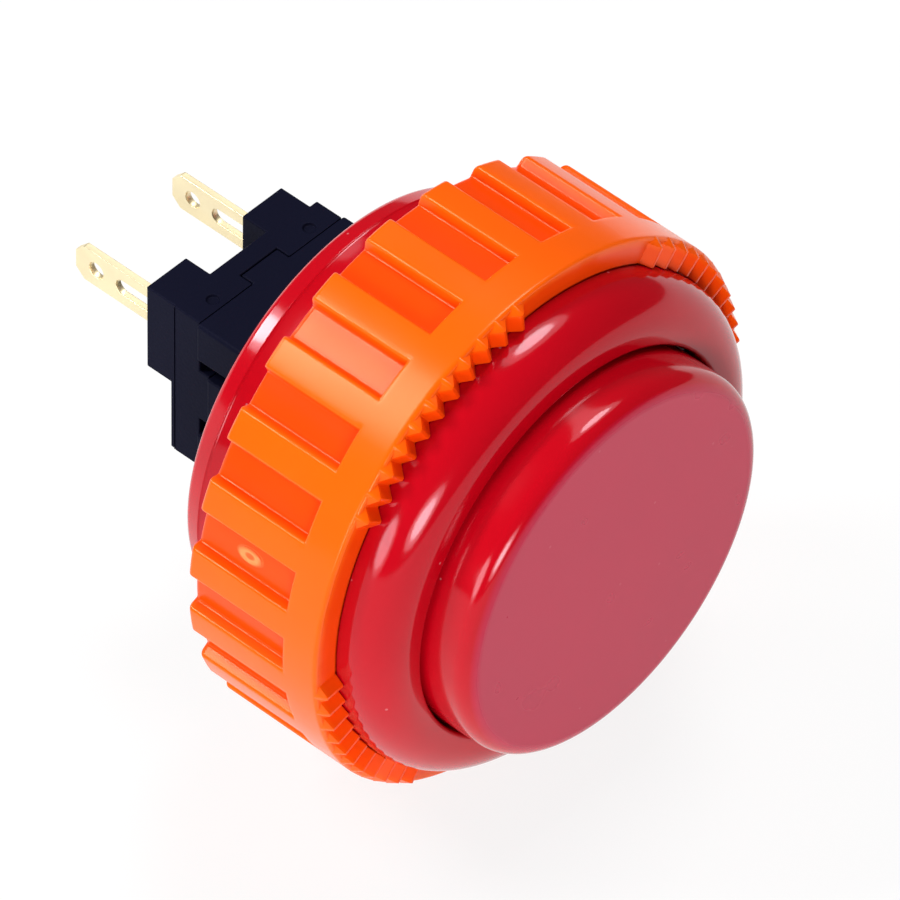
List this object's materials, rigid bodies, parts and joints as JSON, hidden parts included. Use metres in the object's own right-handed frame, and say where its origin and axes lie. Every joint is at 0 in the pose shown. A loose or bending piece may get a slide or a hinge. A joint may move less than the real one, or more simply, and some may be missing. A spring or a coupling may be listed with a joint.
{
  "type": "arcade push button",
  "caption": "Round screw-in push button for a control panel, with a red plunger and rim, an orange ribbed lock nut and a small black switch with two solder tabs",
  "frame": {"origin": "on the plunger's axis, in the plane of the rim's underside, where the button seats on its panel", "axes": "+Z out towards the player along the plunger's axis, +X from the left terminal to the right one, -Y the side of the switch that the terminal blocks are flush with"},
  "size_m": [0.0379, 0.0378, 0.0406],
  "materials": {
    "red_housing": "glossy moulded red plastic",
    "red_plunger": "glossy sides with a satin face, moulded red plastic",
    "orange_nut": "semi-gloss moulded orange plastic",
    "black_case": "matte moulded black plastic",
    "white_pin": "natural white plastic",
    "spring_steel": "bright spring wire",
    "tab_brass": "pale plated brass strip",
    "contact_tip": "silver faced contact tip"
  },
  "bodies": {
    "housing": {"housing": "red_housing", "switch_cover": "black_case", "switch_base": "black_case", "terminal_right": "tab_brass", "terminal_left": "tab_brass", "fixed_contact_right": "contact_tip", "fixed_contact_left": "contact_tip", "return_spring": "spring_steel"},
    "plunger": {"plunger": "red_plunger"},
    "actuator": {"switch_actuator": "white_pin", "contact_spring": "spring_steel"},
    "bridge": {"contact_bridge": "tab_brass", "moving_contact_right": "contact_tip", "moving_contact_left": "contact_tip"},
    "nut": {"lock_nut": "orange_nut"}
  },
  "joints": [
    {"name": "plunger_press", "type": "slide", "parent": "housing", "child": "plunger", "axis": [0, 0, -1], "range_m": [0, 0.0025], "stiffness_N_per_m": 150, "springref_m": -0.004},
    {"name": "actuator_press", "type": "slide", "parent": "housing", "child": "actuator", "axis": [0, 0, -1], "range_m": [0, 0.0025], "deforming": ["return_spring"]},
    {"name": "bridge_close", "type": "slide", "parent": "housing", "child": "bridge", "axis": [0, 0, -1], "range_m": [0, 0.0015], "deforming": ["contact_spring"]},
    {"name": "nut_travel", "type": "slide", "parent": "housing", "child": "nut", "axis": [0, 0, -1], "range_m": [0, 0.008]}
  ],
  "couplings": [
    {"joint": "actuator_press", "follows": "plunger_press", "ratio": 1},
    {"joint": "bridge_close", "follows": "plunger_press", "ratio": 0.6}
  ]
}
